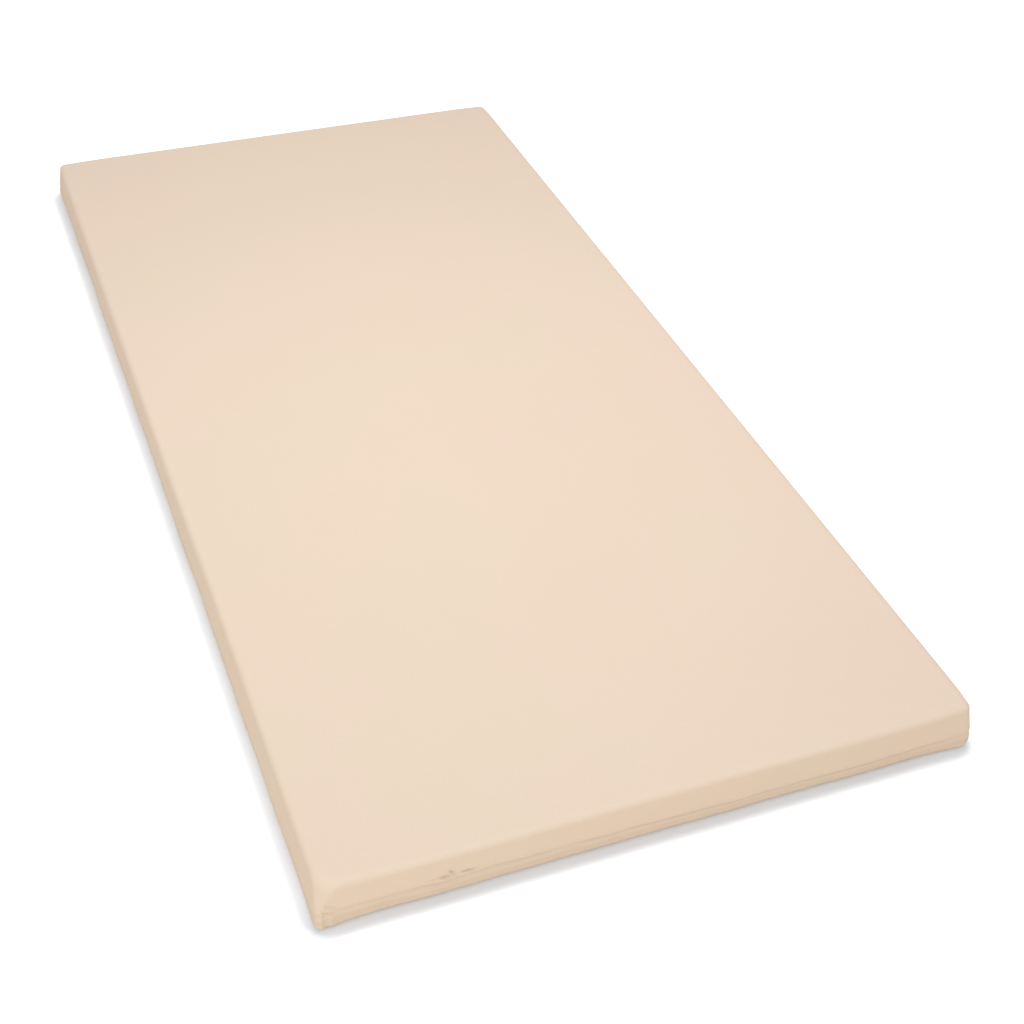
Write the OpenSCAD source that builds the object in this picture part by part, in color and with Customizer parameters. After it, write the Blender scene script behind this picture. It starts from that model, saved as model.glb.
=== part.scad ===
// A single-bed memory foam mattress: two foam layers in an inner liner, inside a zipped two-piece knitted cover.
// Millimetres. X runs across the width, Y along the length towards the head, Z up from the underside.

/* [Mattress] */
// Length of the mattress over its cover
length = 1900; // [1600:50:2100]
// Width of the mattress over its cover
width = 900; // [600:50:1800]
// Height of the mattress over its cover
height = 70; // [65:1:120]
// Radius of the four upright corners
corner_r = 17; // [17:1:60]
// Radius of the top and bottom edges
edge_r = 8; // [6:1:8]

/* [Cover] */
// Thickness of the coated knit that both covers are cut from
cover_cloth = 0.8; // [0.4:0.1:1.2]
// Height of the upper cover's lower hem above the floor
hem_z = 25; // [20:1:28]
// How far the lower cover reaches up behind that hem
hem_lap = 8; // [5:1:10]
// How far the cloth turns back beside the zip
hem_fold = 8; // [6:1:9]
// Height of the seam line above the hem's edge
hem_margin = 3; // [2:0.5:4]
// Thickness of the thread that sews the hem
hem_thread = 0.3; // [0.2:0.1:0.5]
// Width of the seam allowance inside each upright corner
corner_allowance = 8; // [5:1:10]

/* [Liner] */
// Thickness of the liner's stretch knit
liner_cloth = 0.6; // [0.3:0.1:0.8]
// Height of the seam that closes the liner
liner_seam_z = 53; // [50:1:55]
// Width of the thread that closes the liner
liner_seam_w = 3; // [2:0.5:4]
// Thickness of the thread that closes the liner
liner_seam_t = 0.6; // [0.3:0.1:0.7]

/* [Foam] */
// Thickness of the memory foam layer
memory_h = 30; // [20:1:40]
// Thickness of the glue between the two foams
glue_h = 0.3; // [0.2:0.1:0.6]

/* [Zip] */
// Distance from the mattress's end to the end of the zip's chain
zip_end = 105; // [80:5:200]
// Height of the opening that the zip shows in
zip_slot = 12; // [11:0.5:14]
// Distance from the chain's end to the end of that opening
slot_margin = 32; // [31:1:45]
// Width of each zip tape
tape_w = 12; // [10:0.5:13]
// Thickness of each zip tape
tape_t = 0.6; // [0.4:0.1:0.8]
// How far the tapes run on behind the cover past the opening
tape_tail = 10; // [5:1:15]
// Width of one row of coil
coil_w = 2.5; // [2:0.1:2.8]
// Thickness of one row of coil
coil_t = 1.8; // [1.5:0.1:2.2]
// Gap between the two rows, where the slider's web runs
coil_gap = 1; // [1:0.1:1.4]
// Length of each end stop
stop_l = 3; // [2:0.5:5]
// Thickness of the thread that sews the tapes
zip_thread = 0.4; // [0.3:0.1:0.5]
// Distance of that thread from the opening's edge
zip_stitch_in = 2; // [1:0.5:3]

/* [Slider] */
// Length of the slider
slider_l = 11; // [9:0.5:14]
// Width of the slider
slider_w = 9; // [8.6:0.1:9.6]
// Thickness of the slider's two plates
plate_t = 1; // [0.7:0.1:1.3]
// Corner radius of the two plates
plate_r = 2; // [1:0.5:3]
// Thickness of the web that joins the two plates
web_t = 0.4; // [0.3:0.1:0.4]
// Length of that web
web_l = 3; // [2:0.5:4]
// Length of the bail that holds the pull tab
bail_l = 6.4; // [5.8:0.2:7.4]
// Width of the bail
bail_w = 1.2; // [0.8:0.1:1.6]
// Thickness of the bail's bar and legs
bail_t = 0.7; // [0.5:0.1:1]
// Length of the pull tab from its pivot
tab_l = 28; // [20:1:29]
// Width of the pull tab
tab_w = 6; // [5:0.5:8]
// Thickness of the pull tab
tab_t = 0.9; // [0.6:0.1:1]
// Radius of the tab's pivot bar
pivot_r = 0.5; // [0.5:0.05:0.7]
// Length of the window in the tab that clears the bail
tab_window_l = 5; // [4.5:0.5:7]
// Corner radius of the tab's free end
tab_r = 2; // [1:0.5:2.5]

/* [Fits] */
// Clearance between pieces that lie on or run past each other
fit_gap = 0.3; // [0.2:0.05:0.4]
// How far the slider's bail lies below the cover's face
slider_sink = 0.2; // [0.1:0.1:1]

/* [Hidden] */
$fn = 48;

// Past the mattress on every side, for cuts that run right through
outside = 10;

// The corners' centres stand on this rectangle
core_x = width / 2 - corner_r;
core_y = length / 2 - corner_r;
CORNERS = [[core_x, core_y], [-core_x, core_y], [-core_x, -core_y], [core_x, -core_y]];

// Insets from the mattress's outer faces: sideways, then up and down
lower_side = cover_cloth + fit_gap;
liner_side = lower_side + cover_cloth + fit_gap;
foam_side = liner_side + liner_cloth + fit_gap;
liner_flat = cover_cloth + fit_gap;
foam_flat = liner_flat + liner_cloth + fit_gap;

// Heights
lap_top = hem_z + hem_lap;
memory_z = height - foam_flat - memory_h;
glue_z = memory_z - glue_h;
zip_z = hem_z + zip_slot / 2;

// Places along the zip
chain_half = length / 2 - zip_end;
slot_half = chain_half + slot_margin;
tape_half = slot_half + tape_tail;
slider_y = chain_half - fit_gap - slider_l / 2;

// Depths behind the mattress's +X face
bail_h = 2 * fit_gap + 2 * pivot_r + bail_t;
bail_d = slider_sink;
plate_d = bail_d + bail_h;
coil_d = plate_d + plate_t + fit_gap;
tape_d = coil_d + coil_t;
pivot_d = plate_d - fit_gap - pivot_r;
back_plate_d = tape_d + tape_t + fit_gap;
channel_d = back_plate_d + plate_t + fit_gap;

// Half heights from the zip's middle
half_slot = zip_slot / 2;
half_gap = coil_gap / 2;
half_chain = half_gap + coil_w;
channel_half = max(half_slot + hem_fold, half_gap + tape_w) + fit_gap;

COVER = [0.93, 0.86, 0.78];
THREAD = [0.95, 0.9, 0.84];
TAPE = [0.9, 0.83, 0.74];
COIL = [0.88, 0.81, 0.72];
METAL = [0.75, 0.74, 0.72];
LINER = [0.96, 0.96, 0.94];

// ---- shared forms ----

// Section of a rounded side, outward from the line of corner centres
module edge_profile(side, low, high) {
    reach = corner_r - side;
    round_r = edge_r - side;
    full_h = height - low - high;
    translate([0, low]) square([reach - round_r, full_h]);
    translate([0, low + round_r]) square([reach, full_h - 2 * round_r]);
    for (z = [low + round_r, height - high - round_r])
        translate([reach - round_r, z]) circle(r = round_r);
}

// The mattress's rounded block, inset from its outer faces
module block(side, low, high) {
    for (k = [0 : 3]) translate(CORNERS[k]) rotate([0, 0, 90 * k]) {
        rotate_extrude(angle = 90) edge_profile(side, low, high);
        rotate([90, 0, 0]) linear_extrude(2 * (k % 2 == 0 ? core_y : core_x)) edge_profile(side, low, high);
    }
    translate([-core_x, -core_y, low]) cube([2 * core_x, 2 * core_y, height - low - high]);
}

// Everything between two heights, for cutting the block into layers
module layer_cut(low, high)
    translate([-width / 2 - outside, -length / 2 - outside, low])
        cube([width + 2 * outside, length + 2 * outside, high - low]);

// A box beside the zip: depths run inward from the +X face, heights from the zip's middle
module zip_box(outer, inner, y0, y1, low, high)
    translate([width / 2 - inner, y0, zip_z + low]) cube([inner - outer, y1 - y0, high - low]);

// Room for the zip in what lies behind it
module zip_channel(grow)
    zip_box(-outside, channel_d + grow, -tape_half - fit_gap - grow, tape_half + fit_gap + grow,
            -channel_half - grow, channel_half + grow);

// A flat plate beside the zip with rounded corners in its own plane
module zip_plate(outer, inner, y0, y1, half_z, r)
    translate([width / 2 - inner, 0, zip_z]) rotate([90, 0, 90]) linear_extrude(inner - outer) {
        translate([y0, -half_z + r]) square([y1 - y0, 2 * (half_z - r)]);
        translate([y0 + r, -half_z]) square([y1 - y0 - 2 * r, 2 * half_z]);
        for (y = [y0 + r, y1 - r], z = [-half_z + r, half_z - r]) translate([y, z]) circle(r = r);
    }

// ---- cover ----

// Cloth turned in beside the zip: a lip into the opening, then a leg that the tape is sewn to
module turned_hem(up, outer) {
    lip = [half_slot, half_slot + cover_cloth];
    leg = [half_slot, half_slot + hem_fold];
    zip_box(outer, tape_d, -slot_half, slot_half, min(up * lip), max(up * lip));
    zip_box(tape_d - cover_cloth, tape_d, -slot_half, slot_half, min(up * leg), max(up * leg));
}

module cover_top() color(COVER) {
    difference() {
        block(0, 0, 0);
        block(cover_cloth, cover_cloth, cover_cloth);
        layer_cut(-outside, hem_z);
        zip_box(-outside, 2 * cover_cloth, -slot_half, slot_half, -half_slot - outside, half_slot);
    }
    turned_hem(1, 0);
    for (y = [-slot_half - cover_cloth, slot_half])
        zip_box(0, tape_d, y, y + cover_cloth, -half_slot, half_slot + cover_cloth);
}

module cover_bottom() color(COVER) {
    cut_half = slot_half + cover_cloth + fit_gap;
    difference() {
        block(lower_side, 0, cover_cloth);
        block(lower_side + cover_cloth, cover_cloth, 2 * cover_cloth);
        layer_cut(lap_top, height + outside);
        zip_box(-outside, lower_side + 2 * cover_cloth, -cut_half, cut_half, -half_slot, outside + hem_lap);
    }
    turned_hem(-1, lower_side);
}

// The two cloths' edges, sewn together and laid flat inside an upright corner
module corner_seam(k) color(COVER) {
    turn = corner_allowance / corner_r * 180 / PI;
    low = lap_top + fit_gap;
    translate(CORNERS[k]) rotate([0, 0, 90 * k + 45 - turn / 2]) rotate_extrude(angle = turn)
        translate([corner_r - lower_side - cover_cloth, low])
            square([cover_cloth, height - edge_r - low]);
}

// The hem's thread along one straight side; the zip takes the middle of side 0
module hem_stitch(k) color(THREAD) {
    run = k % 2 == 0 ? core_y : core_x;
    reach = k == 0 ? [[-run, -slot_half - cover_cloth], [slot_half + cover_cloth, run]] : [[-run, run]];
    for (span = reach) rotate([0, 0, 90 * k])
        translate([corner_r + (k % 2 == 0 ? core_x : core_y), span[0], hem_z + hem_margin])
            cube([hem_thread, span[1] - span[0], hem_thread]);
}

// ---- zip ----

module zip_tape(up) color(TAPE)
    zip_box(tape_d, tape_d + tape_t, -tape_half, tape_half,
            min(up * half_gap, up * (half_gap + tape_w)), max(up * half_gap, up * (half_gap + tape_w)));

module zip_coil(up) color(COIL)
    zip_box(coil_d, tape_d, -chain_half, chain_half, min(up * half_gap, up * half_chain),
            max(up * half_gap, up * half_chain));

// Thread on the tape's back, through the turned hem
module zip_stitch(up) color(THREAD) {
    z = up * (half_slot + zip_stitch_in);
    zip_box(tape_d + tape_t, tape_d + tape_t + zip_thread, -slot_half, slot_half,
            z - zip_thread / 2, z + zip_thread / 2);
}

module zip_top_stops() color(METAL)
    for (up = [-1, 1])
        zip_box(coil_d, tape_d, chain_half, chain_half + stop_l, min(up * half_gap, up * half_chain),
                max(up * half_gap, up * half_chain));

module zip_bottom_stop() color(METAL)
    zip_box(coil_d, tape_d, -chain_half - stop_l, -chain_half, -half_chain, half_chain);

// A cloth patch over the tapes' ends, past the stops
module zip_end_patch(end) color(COVER) {
    inner = chain_half + stop_l + fit_gap;
    outer = slot_half - fit_gap;
    zip_box(tape_d - cover_cloth, tape_d, end > 0 ? inner : -outer, end > 0 ? outer : -inner,
            -half_slot + fit_gap, half_slot - fit_gap);
}

module zip_slider() color(METAL) {
    y0 = slider_y - slider_l / 2;
    y1 = slider_y + slider_l / 2;
    half_w = slider_w / 2;
    difference() {
        zip_plate(plate_d, tape_d - fit_gap, y0, y1, half_w, plate_r);
        zip_box(plate_d + plate_t, tape_d, y0 - outside, y1 + outside, -half_chain - fit_gap,
                half_chain + fit_gap);
    }
    zip_plate(back_plate_d, back_plate_d + plate_t, y0, y1, half_w, plate_r);
    zip_box(plate_d + plate_t / 2, back_plate_d + plate_t / 2, y1 - plate_r / 2 - web_l, y1 - plate_r / 2,
            -web_t / 2, web_t / 2);
    difference() {
        zip_box(bail_d, plate_d + plate_t / 2, slider_y - bail_l / 2, slider_y + bail_l / 2,
                -bail_w / 2, bail_w / 2);
        zip_box(bail_d + bail_t, plate_d, slider_y - bail_l / 2 + bail_t, slider_y + bail_l / 2 - bail_t,
                -bail_w, bail_w);
    }
}

module zip_pull_tab() color(METAL) {
    window = bail_w / 2 + fit_gap;
    difference() {
        zip_plate(pivot_d - tab_t / 2, pivot_d + tab_t / 2, slider_y - tab_l, slider_y + tab_r,
                  tab_w / 2, tab_r);
        zip_box(-outside, channel_d, slider_y - tab_window_l, slider_y, -window, window);
        zip_box(-outside, channel_d, slider_y, slider_y + outside, -tab_w, tab_w);
    }
    translate([width / 2 - pivot_d, slider_y, zip_z - tab_w / 2]) cylinder(h = tab_w, r = pivot_r);
}

// ---- liner ----

module liner_space(grow) difference() {
    block(liner_side + grow, liner_flat + grow, liner_flat + grow);
    zip_channel(grow);
}

module liner_shell() difference() {
    liner_space(0);
    liner_space(liner_cloth);
}

module liner_top() color(LINER) difference() {
    liner_shell();
    layer_cut(-outside, liner_seam_z);
}

module liner_bottom() color(LINER) difference() {
    liner_shell();
    layer_cut(liner_seam_z, height + outside);
}

// Flat overlocked thread over the liner's seam, along the four straight sides
module liner_seam() color(THREAD)
    for (k = [0 : 3]) {
        run = k % 2 == 0 ? core_y : core_x;
        rotate([0, 0, 90 * k])
            translate([corner_r + (k % 2 == 0 ? core_x : core_y) - liner_side, -run,
                       liner_seam_z - liner_seam_w / 2])
                cube([liner_seam_t, 2 * run, liner_seam_w]);
    }

// ---- foam ----

module foam_layer(low, high) difference() {
    block(foam_side, foam_flat, foam_flat);
    zip_channel(liner_cloth + fit_gap);
    layer_cut(-outside, low);
    layer_cut(high, height + outside);
}

module memory_foam() color([0.97, 0.93, 0.8]) foam_layer(memory_z, height);

module glue_film() color([0.9, 0.85, 0.6]) foam_layer(glue_z, memory_z);

module support_foam() color([0.85, 0.88, 0.9]) foam_layer(0, glue_z);

cover_top();
cover_bottom();
corner_seam(0);  // corner_seam_head_right
corner_seam(1);  // corner_seam_head_left
corner_seam(2);  // corner_seam_foot_left
corner_seam(3);  // corner_seam_foot_right
hem_stitch(0);  // hem_stitch_right
hem_stitch(1);  // hem_stitch_head
hem_stitch(2);  // hem_stitch_left
hem_stitch(3);  // hem_stitch_foot
zip_tape(1);  // zip_tape_upper
zip_tape(-1);  // zip_tape_lower
zip_coil(1);  // zip_coil_upper
zip_coil(-1);  // zip_coil_lower
zip_stitch(1);  // zip_stitch_upper
zip_stitch(-1);  // zip_stitch_lower
zip_top_stops();
zip_bottom_stop();
zip_end_patch(1);  // zip_end_patch_head
zip_end_patch(-1);  // zip_end_patch_foot
zip_slider();
zip_pull_tab();
liner_top();
liner_bottom();
liner_seam();
memory_foam();
glue_film();
support_foam();
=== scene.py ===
"""Looks of the memory foam mattress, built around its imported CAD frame.

Lengths are in millimetres until a mesh is made; Blender's own objects are in metres, in the CAD frame.
X runs across the mattress, Y along it towards the head, Z up from the floor. The zip is on the +X side.
"""

import math

import bmesh
import bpy
import numpy as np
from mathutils import Euler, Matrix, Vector, geometry


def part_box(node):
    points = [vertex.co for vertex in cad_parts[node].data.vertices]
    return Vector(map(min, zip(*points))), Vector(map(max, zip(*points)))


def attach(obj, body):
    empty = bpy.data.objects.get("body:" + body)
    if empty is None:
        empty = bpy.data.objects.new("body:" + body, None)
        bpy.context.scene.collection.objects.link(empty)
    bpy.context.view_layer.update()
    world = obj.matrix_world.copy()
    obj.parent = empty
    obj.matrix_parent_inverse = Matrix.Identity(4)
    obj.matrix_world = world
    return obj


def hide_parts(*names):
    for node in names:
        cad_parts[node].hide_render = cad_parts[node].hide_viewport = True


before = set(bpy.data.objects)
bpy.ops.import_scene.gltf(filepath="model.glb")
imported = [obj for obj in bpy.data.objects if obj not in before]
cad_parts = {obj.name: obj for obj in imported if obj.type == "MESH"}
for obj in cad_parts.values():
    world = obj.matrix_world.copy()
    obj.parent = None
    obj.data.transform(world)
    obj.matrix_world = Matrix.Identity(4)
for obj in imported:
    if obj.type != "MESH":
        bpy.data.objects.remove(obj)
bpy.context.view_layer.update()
scene = bpy.context.scene

MM = 0.001
BODY = "mattress"


# ---- camera ----

CAMERA_AT = (-0.7035, -2.1376, 1.6190)
CAMERA_TURN = (50.916, -1.600, -20.804)
CAMERA_LENS = 57.84

camera = bpy.data.objects.new("camera", bpy.data.cameras.new("camera"))
scene.collection.objects.link(camera)
camera.location = CAMERA_AT
camera.rotation_euler = Euler([math.radians(a) for a in CAMERA_TURN])
camera.data.lens = CAMERA_LENS
camera.data.sensor_width = 36
camera.data.clip_end = 60
scene.camera = camera


# ---- sizes that the CAD gives ----

def box_mm(node):
    low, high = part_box(node)
    return np.array(low) / MM, np.array(high) / MM


TOP_LOW, TOP_HIGH = box_mm("cover_top")
LOWER_HIGH = box_mm("cover_bottom")[1]
TAPE_HIGH = box_mm("zip_tape_upper")[1]
COIL_LOW, COIL_HIGH = box_mm("zip_coil_upper")
PATCH_HIGH = box_mm("zip_end_patch_head")[1]
SLIDER_LOW = box_mm("zip_slider")[0]
FOAM_LOW, FOAM_HIGH = box_mm("memory_foam")
GLUE_LOW, GLUE_HIGH = box_mm("glue_film")
LINER_LOW = box_mm("liner_bottom")[0]
LINER_RIM, LINER_HIGH = box_mm("liner_top")[0][2], box_mm("liner_top")[1]
SEAM_HIGH = box_mm("corner_seam_foot_left")[1]
SEW_LOW, SEW_HIGH = box_mm("liner_seam")

HALF = TOP_HIGH[:2]
HEIGHT = TOP_HIGH[2]
HEM = TOP_LOW[2]
CLOTH = 0.8
LINER_CLOTH = 0.6
FIT = 0.3
CORNER = 17.0
LAP = LOWER_HIGH[2] - HEM
LOWER_IN = HALF[0] - LOWER_HIGH[0]

ZIP_Z = (COIL_HIGH[2] + box_mm("zip_coil_lower")[0][2]) / 2
SLOT_END = PATCH_HIGH[1] + FIT
SLOT_HALF = ZIP_Z - HEM
TAPE_FRONT = HALF[0] - TAPE_HIGH[0]
CHANNEL = TAPE_HIGH[2] - ZIP_Z


# ---- the mattress's outline ----

RUNS = (2 * (HALF[0] - CORNER), 2 * (HALF[1] - CORNER))
ARC = CORNER * math.pi / 2
ROUND = 2 * (RUNS[0] + RUNS[1]) + 4 * ARC
FOOT_LEFT = -ARC / 2
CORNER_MEAN = 9.5
CORNER_PLACES = (RUNS[0] + ARC / 2, RUNS[0] + RUNS[1] + 1.5 * ARC, -RUNS[1] - 1.5 * ARC, FOOT_LEFT)
CORNER_CHANGES = (6.5, -1.5, -2.5, 0.5)
RIGHT_MIDDLE = RUNS[0] + ARC + RUNS[1] / 2
CREASE_X = -281


def smooth(x, low, high):
    """0 below low, 1 above high, and an even step between them."""
    t = np.clip((x - low) / (high - low), 0, 1)
    return t * t * (3 - 2 * t)


def bump(x, centre, width):
    """A bell of height 1."""
    return np.exp(-(((x - centre) / width) ** 2))


def wave(s, seed, lengths, size):
    """A random wave that closes on itself round the mattress."""
    rng = np.random.default_rng(seed)
    total = 0
    for length in lengths:
        turns = max(1, round(ROUND / length))
        total = total + np.cos(2 * math.pi * turns * s / ROUND + rng.uniform(0, 2 * math.pi))
    return size * total / len(lengths)


def apart(s, place):
    """Signed distance round the mattress from a place on it."""
    return np.mod(s - place + ROUND / 2, ROUND) - ROUND / 2


def columns(s):
    """Corner signs and outward directions at distances s round the outline, from the foot's left end."""
    s = np.mod(s, ROUND)
    signs = np.zeros(s.shape + (2,))
    outward = np.zeros(s.shape + (2,))
    start = 0
    for k in range(4):
        turn = math.radians(90 * k)
        along = np.array((math.cos(turn), math.sin(turn)))
        out = np.array((math.sin(turn), -math.cos(turn)))
        run = RUNS[k % 2]
        here = (s >= start) & (s <= start + run + ARC)
        f = np.clip((s[here] - start) / run, 0, 1)[:, None]
        g = (np.clip((s[here] - start - run) / ARC, 0, 1) * math.pi / 2)[:, None]
        signs[here] = out + along * (2 * f - 1)
        outward[here] = out * np.cos(g) + along * np.sin(g)
        start += run + ARC
    return signs, outward


def place(s, z, out, radius=None):
    """Points at height z that stand out from the outline by a distance."""
    signs, outward = columns(s)
    radius = (corner_radius(s, z) if radius is None else radius) * np.ones(s.shape)
    xy = signs * (HALF - radius[:, None]) + outward * (radius + out)[:, None]
    return np.column_stack([xy, z * np.ones(s.shape)])


def corner_radius(s, z):
    """Each corner's radius at a height: tighter towards the floor, softest at the foot's left one's top."""
    radius = CORNER_MEAN * np.ones(np.shape(s))
    for centre, change in zip(CORNER_PLACES, CORNER_CHANGES):
        radius = radius + change * bump(apart(s, centre), 0, 60)
    low = 1 - smooth(z, 10, 60)
    slump = 27 * np.clip((z - 32) / 36, 0, 1) ** 1.9
    radius = radius - 4 * low + slump * bump(apart(s, FOOT_LEFT), 0, 60)
    return np.maximum(radius, 3)


def corners(s):
    """1 at each corner of the outline, and 0 between them."""
    return sum(bump(apart(s, centre), 0, 45) for centre in CORNER_PLACES)


def spaced(run, step, fine=()):
    """Distances from 0 to run, a step apart, or closer in each (from, to, step) of fine."""
    at = [0.0]
    while at[-1] < run:
        steps = [f[2] for f in fine if f[0] <= at[-1] <= f[1]]
        at.append(at[-1] + min([step, *steps]))
    return np.array(at[:-1]) * run / at[-1]


def grid_columns():
    slot = RUNS[1] / 2 - SLOT_END
    crease = RUNS[0] / 2
    foot = spaced(RUNS[0], 2.6, [(0, 45, 1.4), (crease - 320, crease - 225, 1.3)])
    right = spaced(RUNS[1], 6, [(slot - 9, slot + 9, 0.7), (RUNS[1] - slot - 9, RUNS[1] - slot + 9, 0.7)])
    head = spaced(RUNS[0], 5)
    left = spaced(RUNS[1], 4.5, [(RUNS[1] - 50, RUNS[1], 1.6)])
    parts, start = [], 0
    for along, arc_steps in ((foot, 26), (right, 18), (head, 18), (left, 34)):
        run = RUNS[len(parts) // 2 % 2]
        parts.append(start + along)
        parts.append(start + run + np.arange(arc_steps) * ARC / arc_steps)
        start += run + ARC
    return np.concatenate(parts)


# ---- how the cover lies ----

EDGE_R = 9.0
HEM_OUT = 3.8
TOP_OUT = 0.7


def along_right(s):
    return apart(s, RIGHT_MIDDLE)


def along_foot(s):
    return apart(s, RUNS[0] / 2)


def loose(s):
    """1 where the cover hangs free of the foam, near 0 where the zip holds it."""
    y = np.abs(along_right(s))
    return 0.05 + 0.95 * smooth(y, SLOT_END + 8, SLOT_END + 62)


def opening(s):
    """1 along the zip's opening, with rounded ends, and 0 elsewhere."""
    end_r = 5
    t = (np.abs(along_right(s)) - (SLOT_END - end_r)) / end_r
    return np.where(t <= 0, 1, np.sqrt(np.clip(1 - t * t, 0, 1)))


def hem_height(s):
    x = along_foot(s)
    foot = smooth(-np.abs(x), -480, -420)
    drift = 3.4 + 3.4 * np.cos(2 * math.pi * (x + 270) / 950)
    ripple = wave(s, 5, lengths=(95, 150, 260), size=0.8)
    ripple = ripple + foot * wave(s, 6, lengths=(60, 85), size=0.7)
    return HEM + foot * (drift + 0.7 * bump(x, -285, 40) - 4.2 * bump(x, -289, 13)) + loose(s) * ripple


def upper_rim(s):
    return hem_height(s) * (1 - opening(s)) + (ZIP_Z + SLOT_HALF) * opening(s)


def lower_rim(s):
    y = np.abs(along_right(s))
    slot = 1 - smooth(y, SLOT_END + 1, SLOT_END + 2)
    return (hem_height(s) + LAP) * (1 - slot) + (ZIP_Z - SLOT_HALF) * slot


def crease(s, z):
    """Folds just above the hem, on the foot's left part: two flat ones, a hook and a ridge."""
    x = along_foot(s)
    first = (-4.4 * bump(x, -285.5, 6) - 1.1 * bump(x, -300, 8)) * bump(z, 36.2, 1.8)
    second = -3.7 * bump(x, -256.5, 9) * bump(z, 36.2 - 0.1 * (x + 256), 1.6)
    hook = -3.7 * bump(z, 39.4, 4.0) * bump(x + 0.8 * (z - 39.4), -276.5, 2.3)
    ridge = 1.7 * bump(x, -281, 12) * bump(z, 32.6, 1.7)
    return first + second + hook + ridge


def bulge(s, z):
    """The lower cloth's roll beneath the second fold."""
    x = along_foot(s)
    return 3.6 * bump(x, -255, 13) * bump(z, 30.6, 2.1)


def gathers(s, z):
    """Small folds that run down and along the foot from its left corner."""
    u = apart(s, FOOT_LEFT) - 7
    t = z + 0.53 * u
    near = smooth(u, -2, 5) * (1 - smooth(u, 13, 34))
    low = smooth(t, 11, 18) * (1 - smooth(t, 44, 50))
    return near * low * 1.1 * np.cos(2 * math.pi * (t - 40.5) / 10.2)


def puckers(s, z):
    """The seam draws the cloth up a little along the hem's thread."""
    size = 0.16 * loose(s) * bump(z, hem_height(s) + 3, 4.5)
    return size * wave(s, 8, lengths=(13, 17, 22), size=1.6)


def left_side(s):
    """1 along the left side, where the cover stands out a little more."""
    return smooth(-np.abs(apart(s, -ARC - RUNS[1] / 2)), -RUNS[1] / 2 - 8, -RUNS[1] / 2 + 60)


def lean(s, z):
    """How far the upper cloth leans in towards its top, near the foot's left corner and on the left side."""
    d = apart(s, FOOT_LEFT)
    reach = np.where(d < 0, 1 - smooth(-d, 450, 850), 1 - smooth(d, 0, 150))
    return 2.6 * reach * smooth(z, 24, 66)


def lie(s, z):
    """How far the upper cloth stands out before its small folds."""
    hang = np.clip((HEIGHT - EDGE_R - z) / (HEIGHT - EDGE_R - HEM), 0, 1.1)
    flare = TOP_OUT + (HEM_OUT + 1.2 * left_side(s) - TOP_OUT) * hang
    soft = hang * wave(s, 11, (180, 310, 520), 0.9) + bump(hang, 0.6, 0.3) * wave(s, 12, (70, 120), 0.35)
    drawn = (corners(s) - bump(apart(s, FOOT_LEFT), 0, 45)) * (3.2 * hang - 2.6)
    return loose(s) * (flare + soft + drawn) - lean(s, z)


def upper_out(s, z):
    return lie(s, z) + crease(s, z) + gathers(s, z) + puckers(s, z)


def lower_out(s, z):
    hem = hem_height(s)
    lapped = smooth(z, hem - 1, hem + 4)
    over = np.maximum(z, hem + 1)
    under = upper_out(s, over) - crease(s, over) * (1 - lapped) - CLOTH - 0.35
    under = under + 2.0 * corners(s) * (1 - smooth(z, hem - 9, hem - 2))
    below = loose(s) * (4.6 - 3.9 * smooth(z, 14, 28) + wave(s, 14, (60, 110, 240), 0.7)) - 0.9
    below = below + gathers(s, z) + loose(s) * (1.2 * left_side(s) + 3.0 * corners(s))
    free = bulge(s, z) * (1 - smooth(z, hem - 2.2, hem - 0.4))
    return np.minimum(under, below * (1 - lapped) + under * lapped) + free


def slack(s):
    """How much further in everything under the cover lies, below the crease and at the foot's left corner."""
    return 4.6 * bump(along_foot(s), CREASE_X, 60) + 0.9 * bump(apart(s, FOOT_LEFT), 0, 45)


def core_out(s, z):
    """The liner's outer face: clear of the cover, and drawn back behind the zip."""
    free = np.minimum(LINER_HIGH[0] - HALF[0], lie(s, HEIGHT) - 1.8 - slack(s))
    behind = 1 - smooth(np.abs(along_right(s)), SLOT_END + 4, SLOT_END + 12)
    behind = behind * (1 - smooth(np.abs(z - ZIP_Z), CHANNEL + 0.2, CHANNEL + 2.8))
    return free * (1 - behind) + (SLIDER_LOW[0] - 0.3 - HALF[0]) * behind


def top_height(xy):
    """The top: a low crown with soft swells, and corners that ease down a little."""
    x, y = xy[:, 0] / HALF[0], xy[:, 1] / HALF[1]
    crown = 1.1 * (1 - x**2) * (1 - y**4)
    swell = 0.25 * np.cos(5.1 * x + 1.7 * y + 0.4) * np.cos(4.3 * y - 0.9 * x + 1.1)
    droop = 0.7 * np.exp((np.abs(xy[:, 0]) - HALF[0]) / 25 + (np.abs(xy[:, 1]) - HALF[1]) / 25)
    return HEIGHT + crown + swell * (1 - x**6) * (1 - y**6) - droop


def top_radius(s):
    return EDGE_R + 2.2 * bump(apart(s, FOOT_LEFT), 10, 70)


def bottom_radius(s):
    """The lower edge rounds well under, but less beside the zip and at the foot's left corner."""
    return 7.0 + 5.0 * smooth(loose(s), 0.1, 1) * (1 - 0.85 * np.minimum(corners(s), 1))


def level(z):
    """A flat face at height z."""
    return lambda xy: np.full(len(xy), float(z))


def crowned(z):
    """The top's crown, brought down to height z."""
    return lambda xy: top_height(xy) - (HEIGHT - z)


def even(value):
    """The same value all round the outline."""
    return lambda s: np.full(np.shape(s), value)


def less(radius, amount):
    """An edge radius that is smaller than another one."""
    return lambda s: radius(s) - amount


# ---- mesh building ----

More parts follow.
